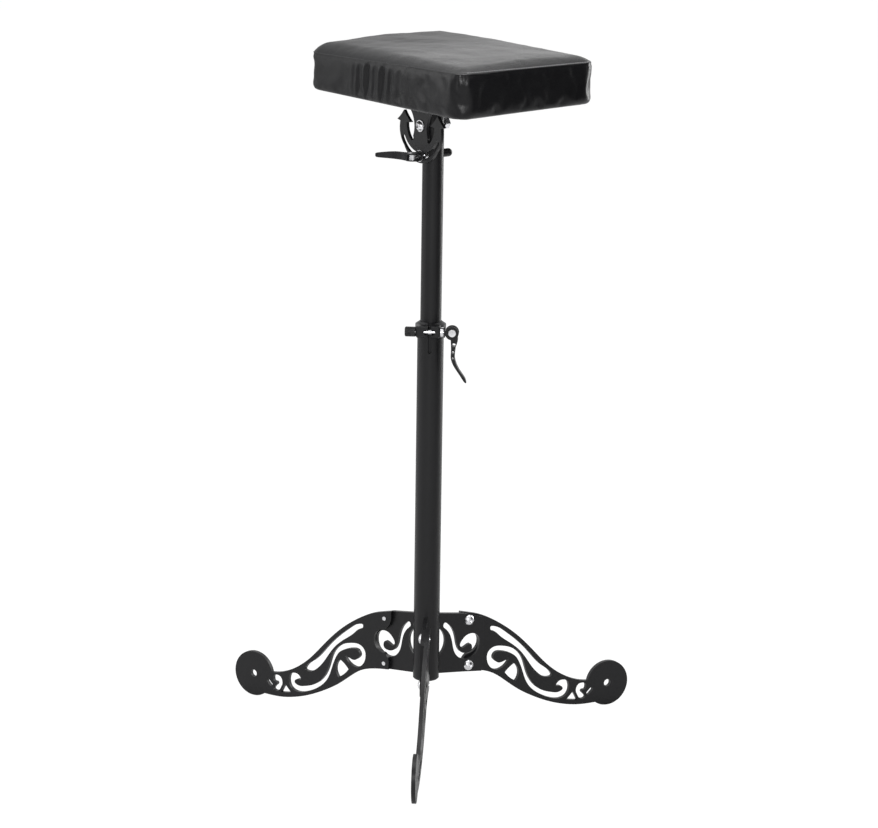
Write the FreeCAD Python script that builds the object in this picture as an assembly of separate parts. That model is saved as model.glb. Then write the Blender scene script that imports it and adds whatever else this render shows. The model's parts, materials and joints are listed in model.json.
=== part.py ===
import FreeCAD, Part
import math
import os

# A tattoo arm rest stand: three scrollwork legs round an outer tube, a mast that slides and turns
# in it, a clamp collar with a cam lever, and an anchor-shaped bracket that tilts a padded rest.
# The legs point along -Y and 30 degrees either side of +Y. Lengths are millimetres, +Z is up.

V = FreeCAD.Vector
X, Y, Z = V(1, 0, 0), V(0, 1, 0), V(0, 0, 1)
O = V(0, 0, 0)

# General clearances
overrun = 2.0          # how far a cut runs past the face that it opens
run_gap = 0.05         # radial running clearance of pins, rods and bores
seat_gap = 0.05        # gap between flat faces that rub on each other
soft_gap = 0.3         # room between loose neighbours
aim_share = 0.99       # how far along an axis a straight edge must point to count as parallel to it

# Outer tube and its end plug
outer_od = 31.8
outer_wall = 2.2
post_bottom = 69.5
post_top = 513.0
plug_flange = 3.0
plug_stem = 15.0
plug_wall = 2.5
slit_width = 4.2
slit_length = 31.0
slit_end_radius = 2.4

# Mast tube and its plugs
inner_od = 25.4
inner_wall = 2.0
mast_foot = 250.0
pivot_height = 754.5
mast_over_pivot = 11.0
cap_flange = 1.5
cap_stem = 58.0
foot_stem = 18.0
foot_flange = 3.0
ring_height = 12.0
ring_neck_radius = 8.5
bush_length = 60.0

# Legs, wing plates and their screws
leg_angles = {"front": 270.0, "right": 30.0, "left": 150.0}
leg_thickness = 5.0
wing_thickness = 5.0
leg_root_reach = 50.0
disc_reach = 256.0
disc_radius = 28.8
disc_hole_radius = 4.6
leg_height = 147.0
wing_reach = 77.0
screw_reach = 57.5
screw_high = 136.5
screw_low = 78.8
lobe_radius = 10.0
scallop_radius = 15.0
lens_reach = 24.6
lens_half_height = 17.5
corner_slot_radius = 2.4
leg_screw_radius = 2.5
leg_screw_head_radius = 6.6
leg_screw_head_height = 3.8
leg_screw_tip = 0.6
socket_radius = 2.2
socket_depth = 2.0

# Outlines of the leg, as shares of its span along and its height up
leg_top_shares = ((-0.012, 1.004), (0.049, 0.984), (0.107, 0.962), (0.194, 0.908), (0.291, 0.824),
                  (0.388, 0.715), (0.485, 0.578), (0.583, 0.436), (0.68, 0.334), (0.777, 0.268),
                  (0.874, 0.24))
leg_bottom_shares = ((0.927, 0.038), (0.864, 0.036), (0.786, 0.041), (0.709, 0.059), (0.607, 0.1),
                     (0.485, 0.174), (0.379, 0.259), (0.286, 0.357), (0.194, 0.438), (0.107, 0.473),
                     (0.004, 0.491))
long_slot_shares = ((0.190, 0.818), (0.192, 0.838), (0.212, 0.838), (0.286, 0.782), (0.374, 0.682),
                    (0.459, 0.56), (0.546, 0.432), (0.608, 0.355), (0.614, 0.333), (0.587, 0.323),
                    (0.536, 0.352), (0.487, 0.418), (0.445, 0.5), (0.404, 0.577), (0.335, 0.664),
                    (0.249, 0.755), (0.212, 0.795))
leg_scroll_shares = ((0.316, 0.523), (0.272, 0.462), (0.234, 0.452), (0.19, 0.489), (0.171, 0.549),
                     (0.177, 0.615), (0.211, 0.654), (0.267, 0.656), (0.329, 0.631), (0.368, 0.596),
                     (0.402, 0.543), (0.425, 0.47), (0.443, 0.389), (0.47, 0.313), (0.518, 0.24),
                     (0.572, 0.2), (0.62, 0.181), (0.667, 0.177), (0.692, 0.202), (0.676, 0.228),
                     (0.645, 0.236), (0.658, 0.266), (0.692, 0.28), (0.72, 0.267), (0.734, 0.229),
                     (0.734, 0.185), (0.716, 0.14), (0.67, 0.118), (0.621, 0.128), (0.567, 0.158),
                     (0.508, 0.207), (0.458, 0.272), (0.428, 0.349), (0.408, 0.431), (0.389, 0.494),
                     (0.366, 0.545), (0.323, 0.585), (0.272, 0.608), (0.225, 0.602), (0.211, 0.561),
                     (0.23, 0.525), (0.267, 0.511))
comma_shares = ((0.853, 0.198), (0.846, 0.219), (0.824, 0.228), (0.798, 0.218), (0.786, 0.192),
                (0.783, 0.164), (0.793, 0.128), (0.821, 0.086), (0.849, 0.095), (0.835, 0.127),
                (0.823, 0.152), (0.828, 0.163), (0.843, 0.165))
# Two three-cornered openings: each corner and then a point on the side that follows it
drop_shares = ((0.353, 0.487), (0.387, 0.383), (0.368, 0.329), (0.327, 0.366), (0.293, 0.418),
               (0.32, 0.455))
heel_shares = ((0.761, 0.161), (0.779, 0.121), (0.793, 0.081), (0.756, 0.088), (0.719, 0.099),
               (0.741, 0.13))
corner_slot_shares = ((0.889, 0.157), (0.869, 0.129))
# How the leg's lobes sit round the screws, as shares of the lobe's radius
lobe_rise_share = 0.25
lobe_diagonal_share = 0.71
heel_drop_share = 0.125
heel_in_share = 0.56
heel_up_share = 0.83

# Outline of the wing plate, as shares of its reach along and the leg's height up
wing_edge_shares = ((0.10, 1.03), (0.65, 0.995), (0.97, 0.945), (1.0, 0.915), (1.0, 0.495),
                    (0.975, 0.472), (0.65, 0.487), (0.10, 0.507))
wing_scroll_shares = ((0.285, 0.918), (0.308, 0.935), (0.374, 0.918), (0.458, 0.862), (0.506, 0.785),
                      (0.535, 0.715), (0.6, 0.662), (0.705, 0.648), (0.795, 0.672), (0.775, 0.722),
                      (0.695, 0.71), (0.627, 0.697), (0.591, 0.712), (0.625, 0.767), (0.717, 0.806),
                      (0.822, 0.811), (0.905, 0.782), (0.935, 0.722), (0.897, 0.655), (0.79, 0.61),
                      (0.665, 0.596), (0.55, 0.624), (0.479, 0.679), (0.445, 0.755), (0.395, 0.835),
                      (0.315, 0.885))
lens_height_share = 0.775

# Clamp collar, measured from the tube's top end
collar_radius = 18.5
collar_below = 12.5
collar_above = 4.0
collar_chamfer = 2.4
boss_chamfer = 1.2
collar_lip_radius = 13.6
collar_slope_share = 0.7
boss_left = 17.0
boss_right = 13.2
boss_front = 24.8
boss_above = 2.0
window_half_width = 7.0
window_half_height = 3.25
rod_radius = 3.0
rod_forward = 20.0
rod_drop = 5.5

# Cam lever, used at the collar and at the head
cam_radius = 8.2
cam_throw = 0.4
barrel_radius = 5.0
barrel_chamfer = 0.6
fork_half_gap = 3.3
rod_end_past_barrel = 3.0
seat_radius = 6.2
collar_cam_reach = 27.2
collar_ferrule_radius = 6.3
collar_ferrule = 3.6
collar_lever_length = 61.0
collar_lever_width = 10.4
lock_cam_reach = 31.8
lock_lever_length = 43.5
lock_lever_width = 9.0
lock_lever_rest = 200.0   # turn of the handle from the bracket's long direction
lever_sweep_share = 0.288
lever_hole_radii = (2.3, 1.7, 1.5)
# Holes and the two sides of the handle: share of its length along, share of its sweep across
lever_hole_shares = ((0.232, 0.129), (0.385, 0.073), (0.507, 0.058))
lever_inner_shares = ((0.085, -0.11), (0.208, -0.076), (0.368, -0.065), (0.493, -0.07), (0.598, 0.035),
                      (0.708, 0.24), (0.819, 0.5), (0.929, 0.741), (0.993, 0.9))
lever_outer_shares = ((1.0, 1.0), (0.929, 0.947), (0.819, 0.706), (0.708, 0.447), (0.598, 0.276),
                      (0.493, 0.188), (0.368, 0.212), (0.29, 0.241), (0.208, 0.335), (0.093, 0.37))
# Edge of the blade seen from the side: share of its length along, share of its half width up
blade_shares = ((0.3, 1.0), (0.66, 0.9), (0.95, 0.6), (1.01, 0.0))

# Knurled collar nut and domed head nut
nut_radius = 6.0
nut_length = 12.5
nut_edge = 1.1
nut_floor = 2.5
nut_knurls = 24
knurl_depth = 0.35
lock_nut_radius = 5.0
lock_nut_reach = 13.0
lock_nut_length = 15.0

# Head: anchor bracket, pivot bolt and lock
head_turn = -46.7
plate_near = 20.0
plate_thickness = 4.0
flange_top = 28.5
flange_half_width = 35.0
flange_far = 77.0
flange_corner = 8.0
bend_radius = 3.0
arm_outer = 40.0
arm_outer_top = 37.6
arm_inner = 25.6
crown_low = 44.5
crown_side = (22.5, 36.0)
lock_reach = 35.8
slot_half_width = 3.2
slot_half_angle = 62.0
fluke_tip = (31.0, 15.2)
fluke_inner_barb = (18.0, 1.8)
fluke_outer_barb = (43.3, 2.8)
shank_half_width = 11.3
shank_flare_top = 30.0
gap_floor = 18.8
# Bends of the shank: shares of its half width or flare, and of the height or depth there
flare_mid_shares = (0.56, 0.6)
waist_top_shares = (1.05, 0.16)
waist_mid_shares = (1.02, 0.36)
waist_low_shares = (1.2, 0.74)
floor_dip_share = 1.02
fluke_bow_share = 0.125
arm_inner_angle = 18.0
arm_outer_angle = 23.0
crown_angle = 42.0
pivot_bolt_radius = 4.0
pivot_head_radius = 6.0
pivot_head_height = 4.0
pivot_socket_radius = 2.7
pivot_washer_radius = 6.9
pivot_spacer_radius = 6.0
pivot_washer = 1.2
pivot_nut_flats = 13.0
pivot_nut_height = 6.5
lock_washer_radius = 7.0
lock_washer = 1.2
lock_spacer_radius = 6.0

# Pad: board, foam, cover and the screws that hold the bracket
pad_length = 285.5
pad_width = 210.5
pad_thickness = 56.8
pad_seam = 48.0
pad_offset_u = -10.25
pad_offset_v = 34.25
bottom_corner = 14.0
seam_corner = 20.0
side_draw = 2.2
cover_wall = 1.3
board_thickness = 12.0
board_inset = 3.0
dust_inset = 8.0
screw_spread_u = 25.0
screw_spread_v = 25.0
bracket_screw_radius = 3.0
bracket_screw_head_radius = 6.0
bracket_screw_head = 3.6
tee_flange_radius = 9.0
tee_barrel_radius = 3.9
tee_flange = 1.2
corner_limit_share = 0.45
bottom_draw_share = 0.6
side_inset_shares = (0.5, 0.3)
top_draw_share = 0.5
# Rings of the cushion: share of the way in to the middle, share of the crown's rise
crown_shares = ((0.006, 0.38), (0.03, 0.62), (0.075, 0.78), (0.16, 0.88), (0.34, 0.95), (0.68, 1.0))


def cylinder(radius, start, end):
    """Solid cylinder from one centre point to another."""
    axis = end.sub(start)
    return Part.makeCylinder(radius, axis.Length, start, axis)


def drilled(solid, radius, start, end):
    """Cut a hole along a line, run past both ends."""
    along = end.sub(start)
    along.normalize()
    return solid.cut(cylinder(radius, start.sub(along * overrun), end.add(along * overrun)))


def tube(outer, inner, start, end):
    """Round tube between two points."""
    return drilled(cylinder(outer, start, end), inner, start, end)


def block(x0, x1, y0, y1, z0, z1):
    """Box between two corners."""
    return Part.makeBox(x1 - x0, y1 - y0, z1 - z0, V(x0, y0, z0))


def arc(a, b, c):
    return Part.Arc(a, b, c).toShape()


def curve(points, closed=False):
    """Smooth line through hand-placed points."""
    spline = Part.BSplineCurve()
    spline.interpolate(Points=points, PeriodicFlag=closed)
    return spline.toShape()


def face(edges):
    return Part.Face(Part.Wire(edges))


def revolved(profile, angle=360.0):
    """Solid turned about Z from (radius, height) corners."""
    corners = [V(r, 0, z) for r, z in profile]
    outline = Part.makePolygon(corners + corners[:1])
    return Part.Face(outline).revolve(O, Z, angle)


def moved(shape, turn=0.0, axis=Z, place=O):
    """Copy of a shape turned about an axis through the origin, then shifted."""
    copy = shape.copy()
    copy.rotate(O, axis, turn)
    copy.translate(place)
    return copy


def aimed(shape, direction, place):
    """Copy of a shape whose +Z now points along a direction, from a new origin."""
    copy = shape.copy()
    copy.Placement = FreeCAD.Placement(place, FreeCAD.Rotation(Z, direction))
    return copy


def hexagon(radius, height):
    """Six-sided bar on the XY plane, from its corner radius."""
    corners = [V(radius * math.cos(math.pi * i / 3), radius * math.sin(math.pi * i / 3), 0)
               for i in range(6)]
    return Part.Face(Part.makePolygon(corners + corners[:1])).extrude(V(0, 0, height))


def dome_screw(head_radius, head_height, shank_radius, length, socket):
    """Button-head screw along +Z: head below zero, shank above it."""
    crown = (head_radius ** 2 + head_height ** 2) / (2 * head_height)
    ball = Part.makeSphere(crown, V(0, 0, crown - head_height))
    head = ball.common(cylinder(head_radius, V(0, 0, -head_height), O))
    body = head.fuse(cylinder(shank_radius, O, V(0, 0, length)))
    key = moved(hexagon(socket, socket_depth + overrun), place=V(0, 0, -head_height - overrun))
    return body.cut(key).removeSplitter()


def leg_point(share):
    span = disc_reach - leg_root_reach
    return V(leg_root_reach + share[0] * span, 0, share[1] * leg_height)


def wing_point(share):
    return V(share[0] * wing_reach, 0, share[1] * leg_height)


def leg_plate():
    """Scrollwork leg in the XZ plane, radius along X, with its foot disc."""
    top = [leg_point(s) for s in leg_top_shares]
    bottom = [leg_point(s) for s in leg_bottom_shares]
    middle = (screw_high + screw_low) / 2
    lobe_top = V(screw_reach, 0, middle + scallop_radius)
    lobe_low = V(screw_reach, 0, middle - scallop_radius)
    lobe_side = V(screw_reach - lobe_radius, 0, screw_high + lobe_radius * lobe_rise_share)
    lobe_under = V(screw_reach - lobe_radius * lobe_diagonal_share, 0,
                   screw_high - lobe_radius * lobe_diagonal_share)
    heel_side = V(bottom[-1].x, 0, screw_low - lobe_radius * heel_drop_share)
    heel_over = V(screw_reach - lobe_radius * heel_in_share, 0, screw_low + lobe_radius * heel_up_share)
    edges = [curve(top), Part.makeLine(top[-1], bottom[0]), curve(bottom),
             Part.makeLine(bottom[-1], heel_side), arc(heel_side, heel_over, lobe_low),
             arc(lobe_low, V(screw_reach + scallop_radius, 0, middle), lobe_top),
             arc(lobe_top, lobe_under, lobe_side), Part.makeLine(lobe_side, top[0])]
    thick = V(0, leg_thickness, 0)
    plate = face(edges).extrude(thick)
    hub = V(disc_reach, 0, disc_radius)
    plate = plate.fuse(cylinder(disc_radius, hub, hub.add(thick)))
    windows = [face(curve([leg_point(s) for s in shares], True))
               for shares in (long_slot_shares, leg_scroll_shares, comma_shares)]
    for shares in (drop_shares, heel_shares):
        a, ab, b, bc, c, ca = [leg_point(s) for s in shares]
        windows.append(face([arc(a, ab, b), arc(b, bc, c), arc(c, ca, a)]))
    for window in windows:
        window.translate(V(0, -overrun, 0))
        plate = plate.cut(window.extrude(V(0, leg_thickness + 2 * overrun, 0)))
    plate = plate.cut(slot_cut([leg_point(s) for s in corner_slot_shares], corner_slot_radius))
    plate = drilled(plate, disc_hole_radius, hub, hub.add(thick))
    for height in (screw_high, screw_low):
        hole = V(screw_reach, 0, height)
        plate = drilled(plate, leg_screw_radius + run_gap, hole, hole.add(thick))
    plate = plate.removeSplitter()
    plate.translate(V(0, wing_thickness / 2, 0))
    return plate


def slot_cut(ends, radius):
    """Cutter for a straight slot through a plate in the XZ plane."""
    depth = V(0, leg_thickness + 2 * overrun, 0)
    start, end = [p.sub(V(0, overrun, 0)) for p in ends]
    along = end.sub(start)
    side = V(along.z, 0, -along.x)
    side.normalize()
    corners = [start.add(side * radius), end.add(side * radius), end.sub(side * radius),
               start.sub(side * radius)]
    bar = Part.Face(Part.makePolygon(corners + corners[:1])).extrude(depth)
    rounds = [cylinder(radius, p, p.add(depth)) for p in (start, end)]
    return bar.fuse(rounds)


def wing_plate():
    """Plate welded to the outer tube, with a lens opening and a scroll cut through it."""
    corners = [wing_point(s) for s in wing_edge_shares]
    thick = V(0, wing_thickness, 0)
    plate = Part.Face(Part.makePolygon(corners + corners[:1])).extrude(thick)
    scroll = face(curve([wing_point(s) for s in wing_scroll_shares], True))
    scroll.translate(V(0, -overrun, 0))
    plate = plate.cut(scroll.extrude(V(0, wing_thickness + 2 * overrun, 0)))
    middle = lens_height_share * leg_height
    wall = outer_od / 2
    low = V(wall, -overrun, middle - lens_half_height)
    high = V(wall, -overrun, middle + lens_half_height)
    low_in, high_in = V(0, low.y, low.z), V(0, high.y, high.z)
    lens = face([arc(low, V(lens_reach, -overrun, middle), high), Part.makeLine(high, high_in),
                 Part.makeLine(high_in, low_in), Part.makeLine(low_in, low)])
    plate = plate.cut(lens.extrude(V(0, wing_thickness + 2 * overrun, 0)))
    plate.translate(V(0, -wing_thickness / 2, 0))
    for height in (screw_high, screw_low):
        hole = V(screw_reach, -wing_thickness / 2, height)
        plate = drilled(plate, leg_screw_radius + run_gap, hole, hole.add(thick))
    return plate.cut(cylinder(outer_od / 2, O, V(0, 0, post_top)))


def leg_screws():
    """The two button-head screws of one leg."""
    length = wing_thickness + leg_thickness + leg_screw_tip
    screw = dome_screw(leg_screw_head_radius, leg_screw_head_height, leg_screw_radius, length,
                       socket_radius)
    places = [V(screw_reach, -wing_thickness / 2, height) for height in (screw_high, screw_low)]
    return Part.makeCompound([aimed(screw, Y, place) for place in places])


def outer_tube():
    """Main tube with the clamping slit down its front."""
    radius = outer_od / 2
    start, end = V(0, 0, post_bottom + plug_flange), V(0, 0, post_top)
    body = tube(radius, radius - outer_wall, start, end)
    half = slit_width / 2
    slit_bottom = post_top - slit_length
    body = body.cut(block(-half, half, -radius - overrun, 0, slit_bottom, post_top + overrun))
    hole = V(0, 0, slit_bottom)
    return body.cut(cylinder(slit_end_radius, hole, V(0, -radius - overrun, slit_bottom)))


def tube_end_plug():
    """Moulded plug that closes the foot of the outer tube."""
    radius = outer_od / 2
    stem = radius - outer_wall
    top = post_bottom + plug_flange
    round_off = plug_flange / 2
    profile = [(0, post_bottom), (radius - round_off, post_bottom), (radius, post_bottom + round_off),
               (radius, top), (stem, top), (stem, top + plug_stem), (stem - plug_wall, top + plug_stem),
               (stem - plug_wall, top), (0, top)]
    return revolved(profile)


def clamp_collar():
    """Split collar with a boss for the rod and a lip that closes on the mast."""
    outer, bore = collar_radius, outer_od / 2 + run_gap
    bottom, top = post_top - collar_below, post_top + collar_above
    ledge = post_top + seat_gap
    lip_bore = inner_od / 2 + soft_gap
    slope = (collar_radius - collar_lip_radius) * collar_slope_share
    profile = [(bore, bottom), (outer - collar_chamfer, bottom), (outer, bottom + collar_chamfer),
               (outer, top - slope), (collar_lip_radius, top), (lip_bore, top), (lip_bore, ledge),
               (bore, ledge)]
    ring = revolved(profile)
    boss_back = (rod_forward - rod_radius) / 2
    boss = block(-boss_left, boss_right, -boss_front, -boss_back, bottom, post_top + boss_above)
    upright = [e for e in boss.Edges
               if e.BoundBox.ZLength > boss_above and e.CenterOfMass.y < -rod_forward]
    boss = boss.makeFillet(outer - bore, upright)
    for height, size in ((bottom, collar_chamfer), (post_top + boss_above, boss_chamfer)):
        rims = [e for e in boss.Edges if e.BoundBox.ZLength < run_gap
                and abs(e.CenterOfMass.z - height) < run_gap and e.CenterOfMass.y < -boss_back - run_gap]
        boss = boss.makeChamfer(size, rims)
    boss = boss.cut(cylinder(bore, V(0, 0, bottom - overrun), V(0, 0, ledge)))
    boss = boss.cut(cylinder(lip_bore, V(0, 0, bottom), V(0, 0, top + overrun)))
    body = ring.fuse(boss).removeSplitter()
    half = slit_width / 2
    body = body.cut(block(-half, half, -boss_front - overrun, 0, bottom - overrun, top + overrun))
    rod_height = post_top - rod_drop
    window_back = -rod_forward + rod_radius + soft_gap
    straight = window_half_width - window_half_height
    front = -boss_front - overrun
    high, low = rod_height + window_half_height, rod_height - window_half_height
    left_high, left_low = V(-straight, front, high), V(-straight, front, low)
    right_high, right_low = V(straight, front, high), V(straight, front, low)
    window = face([Part.makeLine(left_high, right_high),
                   arc(right_high, V(window_half_width, front, rod_height), right_low),
                   Part.makeLine(right_low, left_low),
                   arc(left_low, V(-window_half_width, front, rod_height), left_high)])
    body = body.cut(window.extrude(V(0, window_back - front, 0)))
    start, end = [V(x, -rod_forward, rod_height) for x in (-boss_left, boss_right)]
    return drilled(body, rod_radius + run_gap, start, end)


def tube_bush():
    """Thin plastic liner between the two tubes, split like the tube."""
    outer, inner = outer_od / 2 - outer_wall, inner_od / 2 + run_gap
    start, end = V(0, 0, post_top - bush_length), V(0, 0, post_top)
    body = tube(outer, inner, start, end)
    half = slit_width / 2
    return body.cut(block(-half, half, -outer - overrun, 0, start.z - overrun, end.z + overrun))


def cam_lever(length, width, radii):
    """Cam lever: barrel axis along Z, handle along +X, closing side towards -Y."""
    half, sweep = width / 2, length * lever_sweep_share
    head = cylinder(cam_radius, V(0, -cam_throw, -half), V(0, -cam_throw, half))
    inner = [V(x * length, y * sweep, -half) for x, y in lever_inner_shares]
    outer = [V(x * length, y * sweep, -half) for x, y in lever_outer_shares]
    handle = face([curve(inner), Part.makeLine(inner[-1], outer[0]), curve(outer),
                   Part.makeLine(outer[-1], inner[0])]).extrude(V(0, 0, width))
    side = V(0, -length, 0)
    root, waist, shoulder, tip = [V(x * length, 0, z * half).add(side) for x, z in blade_shares]
    low_root, low_waist, low_shoulder = [V(p.x, p.y, -p.z) for p in (root, waist, shoulder)]
    high_start, low_start = V(0, side.y, half), V(0, side.y, -half)
    blade = face([Part.makeLine(high_start, root), arc(root, waist, shoulder),
                  arc(shoulder, tip, low_shoulder), arc(low_shoulder, low_waist, low_root),
                  Part.makeLine(low_root, low_start), Part.makeLine(low_start, high_start)])
    handle = handle.common(blade.extrude(V(0, 2 * length, 0)))
    body = head.fuse(handle).removeSplitter()
    body = body.cut(cylinder(barrel_radius + run_gap, V(0, 0, -half - overrun), V(0, 0, half + overrun)))
    reach = cam_radius + cam_throw + overrun
    body = body.cut(block(-reach, fork_half_gap, -reach, reach, -fork_half_gap, fork_half_gap))
    for (along, across), radius in zip(lever_hole_shares, radii):
        place = V(along * length, across * sweep, 0)
        body = body.cut(cylinder(radius, place.sub(Z * width), place.add(Z * width)))
    return body


def barrel_pin(width):
    """Cross pin that the lever turns on, along Z, bored for the rod that comes from -Y."""
    half = width / 2
    neck, edge = barrel_radius - barrel_chamfer, half - barrel_chamfer
    pin = revolved([(0, -half), (neck, -half), (barrel_radius, -edge), (barrel_radius, edge), (neck, half),
                    (0, half)])
    return pin.cut(cylinder(rod_radius, V(0, -barrel_radius - overrun, 0), V(0, rod_end_past_barrel, 0)))


def cam_seat(near, far):
    """Plastic saddle under the cam, round, along +Y from near to far, with the rod hole."""
    body = cylinder(seat_radius, V(0, near, 0), V(0, far, 0))
    return drilled(body, rod_radius + run_gap, V(0, near, 0), V(0, far, 0))


def knurled_nut():
    """Round thumb nut along +Z with a grooved rim and a chamfered end."""
    body = revolved([(0, 0), (nut_radius, 0), (nut_radius, nut_length - nut_edge),
                     (nut_radius - nut_edge, nut_length), (0, nut_length)])
    grooves = []
    for i in range(nut_knurls):
        angle = 2 * math.pi * i / nut_knurls
        place = V(nut_radius * math.cos(angle), nut_radius * math.sin(angle), nut_edge)
        grooves.append(cylinder(knurl_depth, place, V(place.x, place.y, nut_length + overrun)))
    body = body.cut(grooves)
    return body.cut(cylinder(rod_radius + run_gap, V(0, 0, -overrun), V(0, 0, nut_length - nut_floor)))


def domed_nut():
    """Smooth thumb nut with a domed end, along +Z."""
    straight = lock_nut_length - lock_nut_radius
    body = cylinder(lock_nut_radius, O, V(0, 0, straight))
    body = body.fuse(Part.makeSphere(lock_nut_radius, V(0, 0, straight))).removeSplitter()
    return body.cut(cylinder(rod_radius + run_gap, V(0, 0, -overrun), V(0, 0, straight)))


def collar_parts():
    """Rod, ferrule, saddle, barrel, lever and nut at the clamp collar."""
    level = V(0, -rod_forward, post_top - rod_drop)
    nut_face = boss_left + seat_gap
    rod_tip = nut_face + nut_length - nut_floor - soft_gap
    rod = cylinder(rod_radius, V(-rod_tip, 0, 0), V(collar_cam_reach + rod_end_past_barrel, 0, 0))
    seat_end = collar_cam_reach - cam_radius - cam_throw - 2 * seat_gap
    ferrule_end = boss_right + collar_ferrule
    ferrule = tube(collar_ferrule_radius, rod_radius + run_gap, V(boss_right, 0, 0), V(ferrule_end, 0, 0))
    saddle = moved(cam_seat(ferrule_end, seat_end), -90.0, Z)
    turn = FreeCAD.Rotation(V(0, 0, -1), X, V(0, -1, 0))   # handle down, barrel along Y
    barrel = barrel_pin(collar_lever_width)
    lever = cam_lever(collar_lever_length, collar_lever_width, lever_hole_radii)
    for shape in (barrel, lever):
        shape.Placement = FreeCAD.Placement(V(collar_cam_reach, 0, 0), turn)
    nut = aimed(knurled_nut(), V(-1, 0, 0), V(-nut_face, 0, 0))
    names = ("collar_rod", "collar_ferrule", "collar_cam_seat", "collar_barrel", "collar_lever", "collar_nut")
    return {n: moved(s, place=level) for n, s in zip(names, (rod, ferrule, saddle, barrel, lever, nut))}


def mast_tube():
    """Sliding tube with cross holes for the pivot bolt and the lock rod."""
    radius = inner_od / 2
    body = tube(radius, radius - inner_wall, V(0, 0, mast_foot), V(0, 0, pivot_height + mast_over_pivot))
    return cross_holes(body)


def cross_holes(body):
    """Drill the two head holes across the mast, along the turned head's Y."""
    across = moved(cylinder(pivot_bolt_radius + run_gap, V(0, -outer_od, 0), V(0, outer_od, 0)),
                   head_turn, Z, V(0, 0, pivot_height))
    lower = moved(cylinder(rod_radius + run_gap, V(0, -outer_od, 0), V(0, outer_od, 0)),
                  head_turn, Z, V(0, 0, pivot_height - lock_reach))
    return body.cut([across, lower])


def mast_cap():
    """Plug in the top of the mast: thin cap and a solid stem that the bolts pass through."""
    radius = inner_od / 2
    stem = radius - inner_wall
    top = pivot_height + mast_over_pivot
    edge = cap_flange / 2
    profile = [(0, top - cap_stem), (stem, top - cap_stem), (stem, top), (radius, top),
               (radius, top + cap_flange - edge), (radius - edge, top + cap_flange), (0, top + cap_flange)]
    return cross_holes(revolved(profile))


def mast_foot_plug():
    """Plug in the mast's foot, with the neck and flange that carry the guide ring."""
    stem = inner_od / 2 - inner_wall
    neck_bottom = mast_foot - ring_height
    flange = outer_od / 2 - outer_wall - 4 * run_gap
    low = neck_bottom - foot_flange
    profile = [(0, low), (flange - foot_flange / 3, low), (flange, low + foot_flange / 3),
               (flange, neck_bottom), (ring_neck_radius, neck_bottom), (ring_neck_radius, mast_foot),
               (stem, mast_foot), (stem, mast_foot + foot_stem), (0, mast_foot + foot_stem)]
    return revolved(profile)


def slide_ring():
    """Plastic guide ring that slides in the outer tube while the mast turns inside it."""
    start = V(0, 0, mast_foot - ring_height + seat_gap)
    end = V(0, 0, mast_foot - seat_gap)
    return tube(outer_od / 2 - outer_wall - run_gap, ring_neck_radius + run_gap, start, end)


def anchor_face():
    """Outline of the anchor plate in the XZ plane, pivot at the origin."""
    under = flange_top - plate_thickness
    tip, barb, outer = [V(x, 0, z) for x, z in (fluke_tip, fluke_inner_barb, fluke_outer_barb)]
    flare = V(shank_flare_top, 0, under)
    flare_mid = V(shank_flare_top * flare_mid_shares[0], 0, under * flare_mid_shares[1])
    waist_top = V(shank_half_width * waist_top_shares[0], 0, under * waist_top_shares[1])
    waist_mid = V(shank_half_width * waist_mid_shares[0], 0, -gap_floor * waist_mid_shares[1])
    waist_low = V(shank_half_width * waist_low_shares[0], 0, -gap_floor * waist_low_shares[1])
    floor_end = V(math.sqrt(arm_inner ** 2 - gap_floor ** 2), 0, -gap_floor)
    floor_mid = V((waist_low.x + floor_end.x) / 2, 0, -gap_floor * floor_dip_share)
    arm_in_top = V(math.sqrt(arm_inner ** 2 - (barb.z / 2) ** 2), 0, barb.z / 2)
    arm_in_mid = turned_point(arm_inner, arm_inner_angle)
    arm_out_top = V(arm_outer_top, 0, outer.z / 2)
    arm_out_mid = turned_point(arm_outer, arm_outer_angle)
    shoulder = turned_point(arm_outer, crown_angle)
    side = V(crown_side[0], 0, -crown_side[1])
    bow = plate_thickness * fluke_bow_share
    inside = V((barb.x + tip.x) / 2 + bow, 0, (barb.z + tip.z) / 2 - bow)
    outside = V((outer.x + tip.x) / 2 - bow, 0, (outer.z + tip.z) / 2 - bow)
    bottom = V(0, 0, -crown_low)
    edges = []
    for flip in (1, -1):
        def at(p):
            return V(p.x * flip, p.y, p.z)
        edges += [arc(at(flare), at(flare_mid), at(waist_top)),
                  arc(at(waist_top), at(waist_mid), at(waist_low)),
                  arc(at(waist_low), at(floor_mid), at(floor_end)),
                  arc(at(floor_end), at(arm_in_mid), at(arm_in_top)),
                  Part.makeLine(at(arm_in_top), at(barb)),
                  arc(at(barb), at(inside), at(tip)), arc(at(tip), at(outside), at(outer)),
                  Part.makeLine(at(outer), at(arm_out_top)),
                  arc(at(arm_out_top), at(arm_out_mid), at(shoulder)),
                  arc(at(shoulder), at(side), bottom)]
    head_left, head_right = [V(x, 0, flange_top - plate_thickness / 2) for x in (-flare.x, flare.x)]
    edges += [Part.makeLine(V(-flare.x, 0, flare.z), head_left), Part.makeLine(head_left, head_right),
              Part.makeLine(head_right, flare)]
    return Part.Face(Part.Wire(Part.__sortEdges__(edges)))


def turned_point(radius, angle):
    """Point of the anchor's arm at an angle below the pivot's level."""
    turn = math.radians(angle)
    return V(radius * math.cos(turn), 0, -radius * math.sin(turn))


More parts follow.
